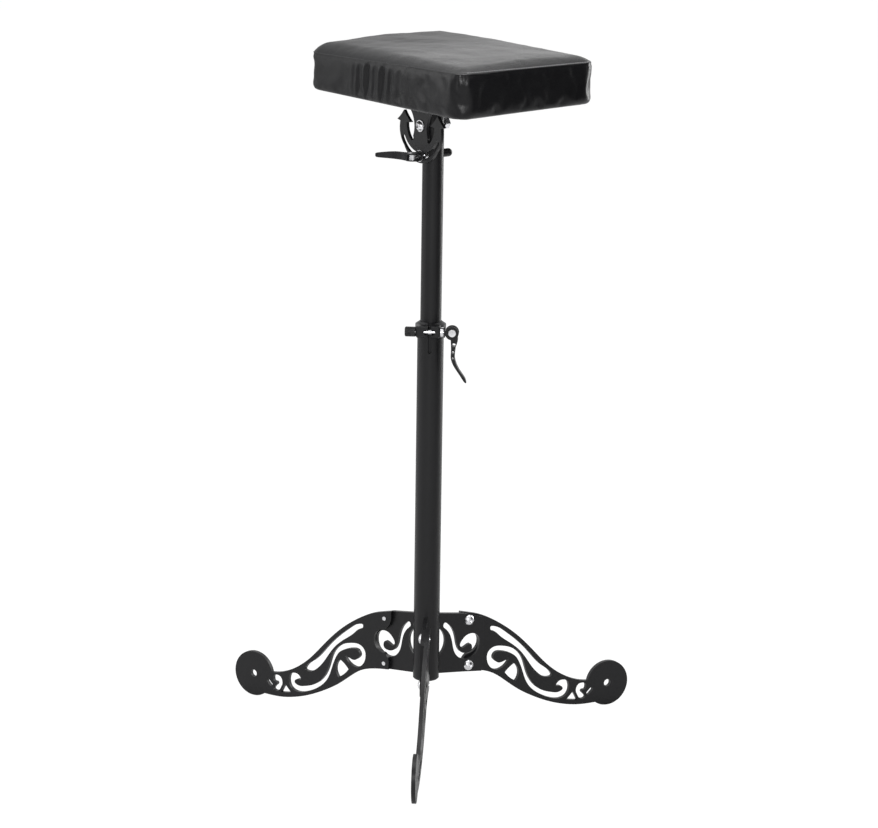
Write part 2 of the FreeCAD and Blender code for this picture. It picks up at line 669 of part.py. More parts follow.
def arc_slot():
    """Cutter for the curved slot that the lock rod runs in."""
    depth = V(0, plate_thickness + 2 * overrun, 0)
    start = V(0, -plate_near - overrun, 0)

    def at(radius, angle):
        turn = math.radians(angle)
        return V(radius * math.sin(turn), start.y, -radius * math.cos(turn))
    inner, outer, end = lock_reach - slot_half_width, lock_reach + slot_half_width, slot_half_angle
    cap = end + math.degrees(slot_half_width / lock_reach)
    edges = [arc(at(inner, -end), at(inner, 0), at(inner, end)),
             arc(at(inner, end), at(lock_reach, cap), at(outer, end)),
             arc(at(outer, end), at(outer, 0), at(outer, -end)),
             arc(at(outer, -end), at(lock_reach, -cap), at(inner, -end))]
    return face(edges).extrude(depth)


def anchor_bracket():
    """Anchor plate and the flange bent from it under the pad."""
    plate = anchor_face().extrude(V(0, plate_thickness, 0))
    plate.translate(V(0, -plate_near, 0))
    flange = block(-flange_half_width, flange_half_width, -plate_near, flange_far,
                   flange_top - plate_thickness, flange_top)
    corners = [e for e in flange.Edges if abs(e.tangentAt(e.FirstParameter).z) > aim_share
               and e.CenterOfMass.y > 0]
    flange = flange.makeFillet(flange_corner, corners)
    back, under = -plate_near + plate_thickness, flange_top - plate_thickness
    bend = block(-shank_flare_top, shank_flare_top, back, back + bend_radius, under - bend_radius, under)
    hollow_at = V(0, back + bend_radius, under - bend_radius)
    wide = V(shank_flare_top + overrun, 0, 0)
    bend = bend.cut(cylinder(bend_radius, hollow_at.sub(wide), hollow_at.add(wide)))
    keep = anchor_face().extrude(V(0, plate_thickness + bend_radius, 0))
    keep.translate(V(0, -plate_near, 0))
    body = plate.fuse([flange, bend.common(keep)]).removeSplitter()
    outside = [e for e in body.Edges if abs(e.tangentAt(e.FirstParameter).x) > aim_share
               and abs(e.CenterOfMass.y + plate_near) < run_gap
               and abs(e.CenterOfMass.z - flange_top) < run_gap]
    body = body.makeFillet(bend_radius, outside)
    body = body.cut(arc_slot())
    front = V(0, -plate_near, 0)
    body = drilled(body, pivot_bolt_radius + run_gap, front, front.add(V(0, plate_thickness, 0)))
    for place in bracket_screw_places():
        body = drilled(body, bracket_screw_radius + run_gap, place, place.add(V(0, 0, plate_thickness)))
    return body


def bracket_screw_places():
    """Centres of the four pad screws on the underside of the flange."""
    under = flange_top - plate_thickness
    return [V(a * screw_spread_u, pad_offset_v + b * screw_spread_v, under) for a in (-1, 1) for b in (-1, 1)]


def bracket_screws():
    length = plate_thickness + board_thickness - tee_flange
    screw = dome_screw(bracket_screw_head_radius, bracket_screw_head, bracket_screw_radius, length,
                       socket_radius)
    return Part.makeCompound([moved(screw, place=p) for p in bracket_screw_places()])


def tee_nuts():
    """Pronged nuts sunk into the top of the board, one over each screw."""
    nuts = []
    top = flange_top + cover_wall + board_thickness
    for place in bracket_screw_places():
        barrel = cylinder(tee_barrel_radius, V(place.x, place.y, flange_top + cover_wall + tee_flange),
                          V(place.x, place.y, top - tee_flange))
        rim = cylinder(tee_flange_radius, V(place.x, place.y, top - tee_flange), V(place.x, place.y, top))
        nut = barrel.fuse(rim).removeSplitter()
        nuts.append(drilled(nut, bracket_screw_radius + run_gap, V(place.x, place.y, flange_top),
                            V(place.x, place.y, top)))
    return Part.makeCompound(nuts)


def head_parts():
    """Pivot and lock hardware, modelled with the head's pivot at the origin."""
    near, back = -plate_near - seat_gap, -plate_near + plate_thickness + seat_gap
    radius = inner_od / 2
    lock = V(0, 0, -lock_reach)
    far = radius + seat_gap
    pivot_shank = plate_near + pivot_washer + seat_gap + far + 2 * pivot_washer + pivot_nut_height
    bolt = aimed(dome_screw(pivot_head_radius, pivot_head_height, pivot_bolt_radius, pivot_shank,
                            pivot_socket_radius), Y, V(0, near - pivot_washer, 0))
    washers = Part.makeCompound([
        tube(pivot_washer_radius, pivot_bolt_radius + run_gap, V(0, near - pivot_washer, 0), V(0, near, 0)),
        tube(pivot_washer_radius, pivot_bolt_radius + run_gap, V(0, far, 0), V(0, far + pivot_washer, 0))])
    mast = cylinder(radius + seat_gap, V(0, 0, -plate_near - crown_low), V(0, 0, plate_near))
    spacers = Part.makeCompound([
        tube(pivot_spacer_radius, pivot_bolt_radius + run_gap, V(0, back, 0), V(0, 0, 0)).cut(mast),
        moved(tube(lock_spacer_radius, rod_radius + run_gap, V(0, back, 0), O), place=lock).cut(mast)])
    nut = hexagon(pivot_nut_flats / math.sqrt(3), pivot_nut_height)
    nut = drilled(nut, pivot_bolt_radius + run_gap, O, V(0, 0, pivot_nut_height))
    nut = aimed(nut, Y, V(0, far + pivot_washer, 0))
    rod_tip = lock_nut_reach + lock_nut_length - lock_nut_radius - soft_gap
    rod = cylinder(rod_radius, V(0, -lock_cam_reach - rod_end_past_barrel, 0), V(0, rod_tip, 0))
    washer_end = near - lock_washer
    washer = tube(lock_washer_radius, rod_radius + run_gap, V(0, washer_end, 0), V(0, near, 0))
    seat_end = -(lock_cam_reach - cam_radius - cam_throw - 2 * seat_gap)
    saddle = cam_seat(seat_end, washer_end)
    barrel = moved(barrel_pin(lock_lever_width), 180.0, Z, V(0, -lock_cam_reach, 0))
    lever = cam_lever(lock_lever_length, lock_lever_width, ())
    lever = moved(lever, lock_lever_rest, Z, V(0, -lock_cam_reach, 0))
    thumb = aimed(domed_nut(), Y, V(0, lock_nut_reach, 0))
    parts = {"pivot_bolt": bolt, "pivot_washers": washers, "pivot_nut": nut, "head_spacers": spacers}
    names = ("lock_rod", "lock_washer", "lock_cam_seat", "lock_barrel", "lock_lever", "lock_nut")
    for name, shape in zip(names, (rod, washer, saddle, barrel, lever, thumb)):
        parts[name] = moved(shape, place=lock)
    return parts


def cushion_ring(inset, height, corner, draw):
    """Closed wire of the pad at one level: bowed sides and rounded corners."""
    a, b = pad_length / 2 - inset, pad_width / 2 - inset
    r = min(corner, b * corner_limit_share)
    q = r * math.sqrt(0.5)
    edges = []
    for turn, long_half, short_half in ((0, a, b), (90, b, a), (180, a, b), (270, b, a)):
        start, end = V(long_half, -short_half + r, 0), V(long_half, short_half - r, 0)
        middle = V(long_half - draw, 0, 0)
        over = V(long_half - r + q, short_half - r + q, 0)
        finish = V(long_half - r, short_half, 0)
        for edge in (arc(start, middle, end), arc(end, over, finish)):
            edges.append(moved(edge, turn, Z, V(pad_offset_u, pad_offset_v, height)))
    return Part.Wire(edges)


def cushion(shrink, floor_lift):
    """Crowned cushion with drawn-in sides, shrunk all round by one wall."""
    bottom = flange_top + floor_lift
    seam = flange_top + pad_seam
    rise = pad_thickness - pad_seam - shrink
    low_inset, middle_inset = [shrink + side_draw * share for share in side_inset_shares]
    rings = [cushion_ring(low_inset, bottom, bottom_corner, side_draw * bottom_draw_share),
             cushion_ring(middle_inset, (bottom + seam) / 2, (bottom_corner + seam_corner) / 2, side_draw),
             cushion_ring(shrink, seam, seam_corner, side_draw * top_draw_share)]
    reach = pad_width / 2 - shrink
    for inward, up in crown_shares:
        inset = shrink + inward * reach
        draw = side_draw * top_draw_share * (1 - inward)
        rings.append(cushion_ring(inset, seam + rise * up, seam_corner, draw))
    return Part.makeLoft(rings, True, True)


def pad_parts():
    """Board, foam, cover and dust cover, with the pivot at the origin."""
    base = flange_top
    board_base = base + cover_wall
    rim = side_draw + cover_wall + board_inset
    board = loft_slab(rim, board_base, board_base + board_thickness, bottom_corner)
    for place in bracket_screw_places():
        low = V(place.x, place.y, board_base)
        high = V(place.x, place.y, board_base + board_thickness)
        board = board.cut(cylinder(bracket_screw_radius + run_gap, low.sub(Z * overrun), high))
        board = board.cut(cylinder(tee_barrel_radius, low.add(Z * tee_flange), high))
        board = board.cut(cylinder(tee_flange_radius, high.sub(Z * tee_flange), high.add(Z * overrun)))
    skin = cushion(0, 0)
    hollow = cushion(cover_wall, cover_wall)
    opening = loft_slab(rim + dust_inset, base - overrun, board_base + overrun, bottom_corner)
    cover = skin.cut(hollow).cut(opening)
    foam = cushion(cover_wall + soft_gap, cover_wall).cut(
        loft_slab(-overrun, base - overrun, board_base + board_thickness, bottom_corner))
    dust = loft_slab(rim + dust_inset + soft_gap, base, board_base, bottom_corner)
    for place in bracket_screw_places():
        low = V(place.x, place.y, base)
        dust = drilled(dust, bracket_screw_radius + run_gap, low, low.add(Z * cover_wall))
    return {"pad_board": board, "pad_foam": foam, "pad_cover": cover, "pad_dust_cover": dust}


def loft_slab(inset, low, high, corner):
    """Flat rounded slab under the cushion's outline."""
    ring = cushion_ring(inset, low, corner, side_draw * top_draw_share)
    return Part.Face(ring).extrude(V(0, 0, high - low))


def build():
    """Every node of the stand, placed round the mast axis."""
    nodes = {"outer_tube": outer_tube(), "tube_end_plug": tube_end_plug(), "clamp_collar": clamp_collar(),
             "tube_bush": tube_bush(), "slide_ring": slide_ring(), "mast_tube": mast_tube(),
             "mast_cap": mast_cap(), "mast_foot_plug": mast_foot_plug()}
    leg, wing, screws = leg_plate(), wing_plate(), leg_screws()
    for name, angle in leg_angles.items():
        nodes["leg_" + name] = moved(leg, angle)
        nodes["wing_plate_" + name] = moved(wing, angle)
        nodes["leg_screws_" + name] = moved(screws, angle)
    nodes.update(collar_parts())
    head = {"anchor_bracket": anchor_bracket(), "bracket_screws": bracket_screws(), "tee_nuts": tee_nuts()}
    head.update(head_parts())
    head.update(pad_parts())
    for name, shape in head.items():
        nodes[name] = moved(shape, head_turn, Z, V(0, 0, pivot_height))
    return nodes


def main():
    os.makedirs("parts", exist_ok=True)
    nodes = build()
    box = Part.makeCompound(list(nodes.values())).optimalBoundingBox(False)
    shift = V(-(box.XMin + box.XMax) / 2, -(box.YMin + box.YMax) / 2, -box.ZMin)
    for name, shape in nodes.items():
        shape = moved(shape, place=shift)
        shape.exportStep("parts/" + name + ".step")
        solids = shape.Solids
        print(name, len(solids), "solids", round(shape.Volume), "mm3", "valid", shape.isValid())
    print("mast axis at x, y =", round(shift.x, 4), round(shift.y, 4), "and lift", round(shift.z, 4))
    print("size", [round(v, 2) for v in (box.XLength, box.YLength, box.ZLength)])


main()
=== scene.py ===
import json
import math

import bpy
import numpy as np
from mathutils import Matrix, Vector
from mathutils.bvhtree import BVHTree
from mathutils.noise import noise as smooth_noise


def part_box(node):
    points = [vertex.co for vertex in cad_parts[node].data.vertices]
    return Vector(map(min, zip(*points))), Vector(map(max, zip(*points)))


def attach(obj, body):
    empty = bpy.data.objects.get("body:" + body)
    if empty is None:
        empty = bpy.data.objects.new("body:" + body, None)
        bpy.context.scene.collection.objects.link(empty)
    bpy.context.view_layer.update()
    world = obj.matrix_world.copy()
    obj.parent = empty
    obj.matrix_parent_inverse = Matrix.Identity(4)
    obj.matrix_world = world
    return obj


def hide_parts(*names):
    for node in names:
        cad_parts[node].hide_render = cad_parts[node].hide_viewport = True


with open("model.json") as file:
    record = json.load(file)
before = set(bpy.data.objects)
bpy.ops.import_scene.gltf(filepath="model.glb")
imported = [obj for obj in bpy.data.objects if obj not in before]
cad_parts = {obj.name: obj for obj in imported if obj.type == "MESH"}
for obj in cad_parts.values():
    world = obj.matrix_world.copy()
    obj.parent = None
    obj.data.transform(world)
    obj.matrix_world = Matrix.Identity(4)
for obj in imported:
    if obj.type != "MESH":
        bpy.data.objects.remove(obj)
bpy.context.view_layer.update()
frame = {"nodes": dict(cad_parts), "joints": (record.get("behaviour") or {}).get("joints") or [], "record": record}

MM = 0.001
TINY = 1e-9
NODES = frame["nodes"]

# Where things are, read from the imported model
tube_low, tube_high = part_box("outer_tube")
MAST = Vector(((tube_low.x + tube_high.x) / 2, (tube_low.y + tube_high.y) / 2, 0))
PAD_TILT = next(joint for joint in frame["joints"] if joint["name"] == "pad_tilt")
PIVOT = Vector(PAD_TILT["pos_m"])
TILT_AXIS = Vector(PAD_TILT["axis"])
HEAD_TURN = math.atan2(TILT_AXIS.y, TILT_AXIS.x) - math.pi / 2
HEAD = Matrix.Translation(PIVOT) @ Matrix.Rotation(HEAD_TURN, 4, "Z")

# Camera fitted to the photograph, from the mast axis on the floor
CAMERA_PLACE = Vector((0.2734, -4.3324, 1.4693))
CAMERA_YAW, CAMERA_PITCH, CAMERA_ROLL = (math.radians(a) for a in (-3.46, 13.81, 0.83))
CAMERA_LENS, CAMERA_SENSOR = 152.3, 36.0
CAMERA_FAR = 50

# Lamps: name, place from the middle of the stand, width, height and power
STAND_MIDDLE = 0.5
LAMPS = (("sky_panel", (-0.1, 0.2, 2.4), 2.4, 2.4, 56),
         ("left_panel", (-2.9, -0.2, 0.7), 1.7, 1.7, 18),
         ("right_strip", (2.0, 1.7, 0.3), 0.6, 2.2, 30),
         ("front_fill", (0.1, -3.3, 0.95), 0.6, 0.6, 30))
AMBIENT = 0.45      # strength of the soft light from all round
WHITE = 1.0         # strength that the camera and reflections see as white
FLAG_PLACE = Vector((2.0, -0.5, 0.75))          # from the mast axis on the floor
FLAG_SIZE, FLAG_GREY = 2.0, 0.01
FLOOR_SIZE, FLOOR_DROP = 30, 0.0002
FLOOR_GREY = 0.9
FLOOR_WHITE = 0.86  # share of the floor's look that the camera takes from its white
FLOOR_GLOW = 1.1    # strength of that white


def make_camera():
    data = bpy.data.cameras.new("camera")
    data.lens, data.sensor_width = CAMERA_LENS, CAMERA_SENSOR
    data.sensor_fit = "HORIZONTAL"
    data.clip_end = CAMERA_FAR
    forward = Vector((math.sin(CAMERA_YAW) * math.cos(CAMERA_PITCH),
                      math.cos(CAMERA_YAW) * math.cos(CAMERA_PITCH), -math.sin(CAMERA_PITCH)))
    level = Vector((math.cos(CAMERA_YAW), -math.sin(CAMERA_YAW), 0))
    above = level.cross(forward)
    right = math.cos(CAMERA_ROLL) * level + math.sin(CAMERA_ROLL) * above
    above = -math.sin(CAMERA_ROLL) * level + math.cos(CAMERA_ROLL) * above
    camera = bpy.data.objects.new("camera", data)
    bpy.context.scene.collection.objects.link(camera)
    turn = Matrix((right, above, -forward)).transposed().to_4x4()
    camera.matrix_world = Matrix.Translation(MAST + CAMERA_PLACE) @ turn
    bpy.context.scene.camera = camera


def area_light(name, place, target, width, height, power):
    """Soft panel that shines at the target and that the camera doesn't see."""
    data = bpy.data.lights.new(name, "AREA")
    data.shape = "RECTANGLE"
    data.size = width
    data.size_y = height
    data.energy = power
    lamp = bpy.data.objects.new(name, data)
    bpy.context.scene.collection.objects.link(lamp)
    lamp.location = place
    lamp.rotation_euler = (target - place).to_track_quat("-Z", "Y").to_euler()
    lamp.visible_camera = False


def make_lights():
    middle = MAST + Vector((0, 0, STAND_MIDDLE))
    for name, place, width, height, power in LAMPS:
        area_light(name, middle + Vector(place), middle, width, height, power)


def matt_material(name, grey):
    """Matt grey for what stands round the object."""
    material = bpy.data.materials.new(name)
    material.use_nodes = True
    shader = material.node_tree.nodes["Principled BSDF"]
    shader.inputs["Base Color"].default_value = (grey, grey, grey, 1)
    shader.inputs["Roughness"].default_value = 0.9
    shader.inputs["Specular IOR Level"].default_value = 0.1
    return material


def make_flag():
    """Dark screen on the right, out of the camera's sight, which the short near side of the pad reflects."""
    bpy.ops.mesh.primitive_plane_add(size=FLAG_SIZE, location=MAST + FLAG_PLACE,
                                     rotation=(0, math.radians(90), 0))
    flag = bpy.context.object
    flag.name = "dark_flag"
    flag.data.materials.append(matt_material("dark_flag", FLAG_GREY))
    flag.visible_camera = False


def background(tree, strength):
    node = tree.nodes.new("ShaderNodeBackground")
    node.inputs["Color"].default_value = (1, 1, 1, 1)
    node.inputs["Strength"].default_value = strength
    return node


def make_world():
    """White to the camera and in reflections, and a plain soft light on everything else."""
    world = bpy.data.worlds.new("studio")
    bpy.context.scene.world = world
    world.use_nodes = True
    tree = world.node_tree
    tree.nodes.clear()
    out = tree.nodes.new("ShaderNodeOutputWorld")
    path = tree.nodes.new("ShaderNodeLightPath")
    straight, seen = (tree.nodes.new("ShaderNodeMath") for _ in range(2))
    straight.operation = seen.operation = "MAXIMUM"
    lit, white = background(tree, AMBIENT), background(tree, WHITE)
    mix = tree.nodes.new("ShaderNodeMixShader")
    tree.links.new(path.outputs["Is Camera Ray"], straight.inputs[0])
    tree.links.new(path.outputs["Is Transmission Ray"], straight.inputs[1])
    tree.links.new(straight.outputs[0], seen.inputs[0])
    tree.links.new(path.outputs["Is Glossy Ray"], seen.inputs[1])
    tree.links.new(seen.outputs[0], mix.inputs[0])
    tree.links.new(lit.outputs[0], mix.inputs[1])
    tree.links.new(white.outputs[0], mix.inputs[2])
    tree.links.new(mix.outputs[0], out.inputs["Surface"])


def make_floor():
    """Pale floor that the camera sees as white, so bright that the stand's shadow doesn't show on it."""
    bpy.ops.mesh.primitive_plane_add(size=FLOOR_SIZE, location=(0, 0, -FLOOR_DROP))
    floor = bpy.context.object
    floor.name = "studio_floor"
    material = matt_material("studio_floor", FLOOR_GREY)
    tree = material.node_tree
    path = tree.nodes.new("ShaderNodeLightPath")
    white = tree.nodes.new("ShaderNodeEmission")
    white.inputs["Strength"].default_value = FLOOR_GLOW
    share = tree.nodes.new("ShaderNodeMath")
    share.operation = "MULTIPLY"
    share.inputs[1].default_value = FLOOR_WHITE
    mix = tree.nodes.new("ShaderNodeMixShader")
    tree.links.new(path.outputs["Is Camera Ray"], share.inputs[0])
    tree.links.new(share.outputs[0], mix.inputs[0])
    tree.links.new(tree.nodes["Principled BSDF"].outputs[0], mix.inputs[1])
    tree.links.new(white.outputs[0], mix.inputs[2])
    tree.links.new(mix.outputs[0], tree.nodes["Material Output"].inputs["Surface"])
    floor.data.materials.append(material)


# Shader node groups
class Graph:
    """Short helper for wiring nodes in one tree."""

    def __init__(self, tree):
        self.tree = tree

    def add(self, kind, values=None, **settings):
        node = self.tree.nodes.new("ShaderNode" + kind)
        for key, value in settings.items():
            setattr(node, key, value)
        for key, value in (values or {}).items():
            self.feed(node.inputs[key], value)
        return node

    def feed(self, socket, value):
        """Link another node's socket to this one, or set its value."""
        if isinstance(value, bpy.types.NodeSocket):
            self.tree.links.new(value, socket)
        else:
            socket.default_value = value

    def math(self, operation, a, b, clamp=False):
        return self.add("Math", {0: a, 1: b}, operation=operation, use_clamp=clamp).outputs[0]

    def ramp(self, factor, low, high, low_value=0.0, high_value=1.0):
        node = self.add("MapRange", {"Value": factor, "From Min": low, "From Max": high,
                                     "To Min": low_value, "To Max": high_value})
        return node.outputs[0]

    def mix(self, factor, a, b):
        """Colour between a and b; sockets 6, 7 and 2 are the Mix node's colour ones."""
        return self.add("Mix", {0: factor, 6: a, 7: b}, data_type="RGBA").outputs[2]

    def noise(self, where, scale, detail):
        return self.add("TexNoise", {"Vector": where, "Scale": scale, "Detail": detail})

    def object_place(self):
        return self.add("TexCoord").outputs["Object"]

    def ends(self):
        """The group's own entry and leaving nodes."""
        return self.tree.nodes.new("NodeGroupInput"), self.tree.nodes.new("NodeGroupOutput")


def new_group(name, inputs, outputs):
    """Empty shader group; its inputs are (name, kind, default) and its outputs (name, kind)."""
    group = bpy.data.node_groups.new(name, "ShaderNodeTree")
    for label, kind, default in inputs:
        socket = group.interface.new_socket(name=label, in_out="INPUT",
                                            socket_type="NodeSocket" + kind)
        socket.default_value = default
    for label, kind in outputs:
        group.interface.new_socket(name=label, in_out="OUTPUT", socket_type="NodeSocket" + kind)
    graph = Graph(group)
    return graph, graph.ends()


def edge_wear_group():
    """Mask of outer edges, broken up by noise."""
    graph, (entry, leave) = new_group(
        "edge_wear",
        (("Width", "Float", 0.0006), ("Break Up", "Float", 0.6), ("Scale", "Float", 300.0)),
        (("Mask", "Float"),))
    where = graph.object_place()
    bevel = graph.add("Bevel", {"Radius": entry.outputs["Width"]}, samples=4)
    flat = graph.add("NewGeometry").outputs["Normal"]
    dot = graph.add("VectorMath", {0: bevel.outputs[0], 1: flat}, operation="DOT_PRODUCT")
    edge = graph.ramp(dot.outputs["Value"], 0.995, 0.86)
    noise = graph.noise(where, entry.outputs["Scale"], 3.0)
    broken = graph.ramp(noise.outputs[0], 0.35, 0.62)
    kept = graph.math("SUBTRACT", 1.0, entry.outputs["Break Up"])
    mask = graph.math("MULTIPLY", broken, entry.outputs["Break Up"])
    mask = graph.math("ADD", mask, kept, True)
    mask = graph.math("MULTIPLY", mask, edge, True)
    graph.tree.links.new(mask, leave.inputs["Mask"])
    return graph.tree


def powder_group():
    """Fine orange peel of a powder coat, as height, and a slow cloudiness, as tone."""
    graph, (entry, leave) = new_group("powder_coat", (("Scale", "Float", 900.0),),
                                      (("Height", "Float"), ("Tone", "Float")))
    where = graph.object_place()
    peel = graph.noise(where, entry.outputs["Scale"], 2.0)
    cloud = graph.noise(where, 9.0, 4.0)
    graph.tree.links.new(peel.outputs[0], leave.inputs["Height"])
    graph.tree.links.new(graph.ramp(cloud.outputs[0], 0.3, 0.7), leave.inputs["Tone"])
    return graph.tree


def leather_group():
    """Pebbled leatherette grain with finer creases: height and pore mask."""
    graph, (entry, leave) = new_group("leather_grain", (("Scale", "Float", 700.0),),
                                      (("Height", "Float"), ("Pores", "Float")))
    where = graph.object_place()
    bend = graph.noise(where, 160.0, 2.0)
    shift = graph.add("VectorMath", {0: bend.outputs["Color"], "Scale": 0.0016}, operation="SCALE")
    moved = graph.add("VectorMath", {0: where, 1: shift.outputs[0]}, operation="ADD")
    cells = graph.add("TexVoronoi", {"Vector": moved.outputs[0], "Scale": entry.outputs["Scale"]},
                      feature="DISTANCE_TO_EDGE")
    pebble = graph.ramp(cells.outputs["Distance"], 0.0, 0.22)
    fine = graph.noise(where, 2600.0, 2.0)
    height = graph.math("ADD", pebble, graph.math("MULTIPLY", fine.outputs[0], 0.25))
    pores = graph.math("SUBTRACT", 1.0, pebble, True)
    graph.tree.links.new(height, leave.inputs["Height"])
    graph.tree.links.new(pores, leave.inputs["Pores"])
    return graph.tree


def turned_group():
    """Fine turning or brushing lines along one direction: height and tone."""
    graph, (entry, leave) = new_group(
        "turning_lines",
        (("Stretch", "Vector", (1.0, 1.0, 1.0)), ("Scale", "Float", 1500.0)),
        (("Height", "Float"), ("Tone", "Float")))
    where = graph.object_place()
    scaled = graph.add("VectorMath", {0: where, 1: entry.outputs["Stretch"]}, operation="MULTIPLY")
    lines = graph.noise(scaled.outputs[0], entry.outputs["Scale"], 3.0)
    cloud = graph.noise(where, 90.0, 3.0)
    graph.tree.links.new(lines.outputs[0], leave.inputs["Height"])
    graph.tree.links.new(graph.ramp(cloud.outputs[0], 0.3, 0.7), leave.inputs["Tone"])
    return graph.tree


GROUPS = {}


def start_material(name, roughness, metallic=0.0, specular=0.5):
    material = bpy.data.materials.new(name)
    material.use_nodes = True
    graph = Graph(material.node_tree)
    shader = material.node_tree.nodes["Principled BSDF"]
    shader.inputs["Roughness"].default_value = roughness
    shader.inputs["Metallic"].default_value = metallic
    shader.inputs["Specular IOR Level"].default_value = specular
    return material, graph, shader


def grouped(graph, name, **values):
    node = graph.tree.nodes.new("ShaderNodeGroup")
    node.node_tree = GROUPS[name]
    for key, value in values.items():
        node.inputs[key.replace("_", " ")].default_value = value
    return node.outputs


def bumped(graph, shader, height, strength, distance):
    bump = graph.add("Bump", {"Height": height, "Strength": strength, "Distance": distance})
    graph.tree.links.new(bump.outputs[0], shader.inputs["Normal"])


def shade(color, share, more=0.0):
    """The same colour darker or lighter."""
    return tuple(min(1, c * share + more) for c in color[:3]) + (1,)


def coated_metal(name, color, worn, roughness, peel=0.12):
    """Semi-gloss black coat with rubbed edges."""
    material, graph, shader = start_material(name, roughness, specular=0.25)
    powder = grouped(graph, "powder_coat", Scale=1100.0)
    wear = grouped(graph, "edge_wear", Width=0.0007, Break_Up=0.7, Scale=420.0)
    base = graph.mix(powder["Tone"], shade(color, 0.82), color)
    base = graph.mix(graph.math("MULTIPLY", wear["Mask"], 0.5), base, worn)
    graph.tree.links.new(base, shader.inputs["Base Color"])
    rough = graph.ramp(powder["Tone"], 0, 1, roughness * 0.88, roughness * 1.1)
    rough = graph.math("SUBTRACT", rough, graph.math("MULTIPLY", wear["Mask"], 0.08), True)
    graph.tree.links.new(rough, shader.inputs["Roughness"])
    bumped(graph, shader, powder["Height"], peel, 0.0002)
    return material


def bright_metal(name, color, roughness):
    """Turned bright steel."""
    material, graph, shader = start_material(name, roughness, metallic=1.0)
    turned = grouped(graph, "turning_lines")
    wear = grouped(graph, "edge_wear", Width=0.0004, Break_Up=0.4, Scale=500.0)
    base = graph.mix(turned["Tone"], shade(color, 0.72), color)
    base = graph.mix(graph.math("MULTIPLY", wear["Mask"], 0.5), base, (0.9, 0.9, 0.91, 1))
    graph.tree.links.new(base, shader.inputs["Base Color"])
    rough = graph.ramp(turned["Height"], 0.3, 0.7, roughness * 0.75, roughness * 1.3)
    graph.tree.links.new(rough, shader.inputs["Roughness"])
    bumped(graph, shader, turned["Height"], 0.1, 0.0001)
    return material


def moulded_plastic(name, color, roughness):
    """Matt finish with a fine texture, for moulded plastic, wood, foam, cloth and thread, and for the light grey
    leather of the seam puckers, whose colour is a painted highlight.
    """
    material, graph, shader = start_material(name, roughness, specular=0.3)
    powder = grouped(graph, "powder_coat", Scale=1800.0)
    wear = grouped(graph, "edge_wear", Width=0.0004, Break_Up=0.5, Scale=500.0)
    light = shade(color, 1.8, 0.01)
    base = graph.mix(graph.math("MULTIPLY", powder["Tone"], 0.4), color, light)
    base = graph.mix(graph.math("MULTIPLY", wear["Mask"], 0.35), base, light)
    graph.tree.links.new(base, shader.inputs["Base Color"])
    rough = graph.ramp(powder["Tone"], 0, 1, roughness * 0.9, roughness * 1.1)
    graph.tree.links.new(rough, shader.inputs["Roughness"])
    bumped(graph, shader, powder["Height"], 0.25, 0.0002)
    return material


# The leather is duller towards the far end: between which places, from the pivot, and by how much
DULL_FROM, DULL_TO, DULLER = -0.16, 0.02, 0.22


def leatherette(name, color, roughness):
    """Coated black leatherette: grain, soft sheen and slightly polished high spots."""
    material, graph, shader = start_material(name, roughness, specular=0.2)
    grain = grouped(graph, "leather_grain", Scale=620.0)
    powder = grouped(graph, "powder_coat", Scale=60.0)
    base = graph.mix(grain["Pores"], color, shade(color, 0.55))
    base = graph.mix(graph.math("MULTIPLY", powder["Tone"], 0.25), base, shade(color, 1.5, 0.004))
    graph.tree.links.new(base, shader.inputs["Base Color"])
    rough = graph.ramp(grain["Pores"], 0, 1, roughness, roughness + 0.08)
    rough = graph.math("ADD", rough, graph.math("MULTIPLY", powder["Tone"], 0.05))
    # Rubbed smoother towards the near end, where arms lie
    lengthwise = TILT_AXIS.cross(Vector((0, 0, 1)))
    along = graph.add("VectorMath", {0: graph.object_place(), 1: tuple(lengthwise)},
                      operation="DOT_PRODUCT")
    middle = PIVOT.dot(lengthwise)
    duller = graph.ramp(along.outputs["Value"], middle + DULL_FROM, middle + DULL_TO, DULLER, 0.0)
    graph.tree.links.new(graph.math("ADD", rough, duller), shader.inputs["Roughness"])
    bumped(graph, shader, grain["Height"], 0.14, 0.0003)
    return material


def make_materials():
    GROUPS["edge_wear"] = edge_wear_group()
    GROUPS["powder_coat"] = powder_group()
    GROUPS["leather_grain"] = leather_group()
    GROUPS["turning_lines"] = turned_group()
    black = (0.009, 0.009, 0.010, 1)
    soft_black = (0.010, 0.010, 0.011, 1)
    rubbed = (0.06, 0.06, 0.062, 1)
    return {
        "black_coat": coated_metal("black_coat", black, rubbed, 0.38),
        "bright_steel": bright_metal("bright_steel", (0.78, 0.78, 0.80, 1), 0.24),
        "zinc_steel": bright_metal("zinc_steel", (0.68, 0.69, 0.71, 1), 0.34),
        "black_nut": coated_metal("black_nut", soft_black, rubbed, 0.32, 0.06),
        "black_plastic": moulded_plastic("black_plastic", soft_black, 0.5),
        "black_leather": leatherette("black_leather", soft_black, 0.2),
        "plywood": moulded_plastic("plywood", (0.42, 0.29, 0.16, 1), 0.7),
        "foam": moulded_plastic("foam", (0.72, 0.68, 0.55, 1), 0.9),
        "dust_cloth": moulded_plastic("dust_cloth", (0.02, 0.02, 0.02, 1), 0.85),
        "thread": moulded_plastic("thread", (0.05, 0.05, 0.052, 1), 0.6),
        # Light grey leather for the seam puckers: a painted highlight along the gathered seam
        "painted_sheen_leather": moulded_plastic("painted_sheen_leather", (0.2, 0.2, 0.205, 1), 0.35),
    }


def dress_nodes(materials):
    slots = {s["node"]: s["material_slot"] for s in frame["record"]["subparts"]}
    for name, node in NODES.items():
        node.data.materials.clear()
        node.data.materials.append(materials[slots[name]])


def deselect_all():
    if bpy.context.mode != "OBJECT":
        bpy.ops.object.mode_set(mode="OBJECT")
    bpy.ops.object.select_all(action="DESELECT")


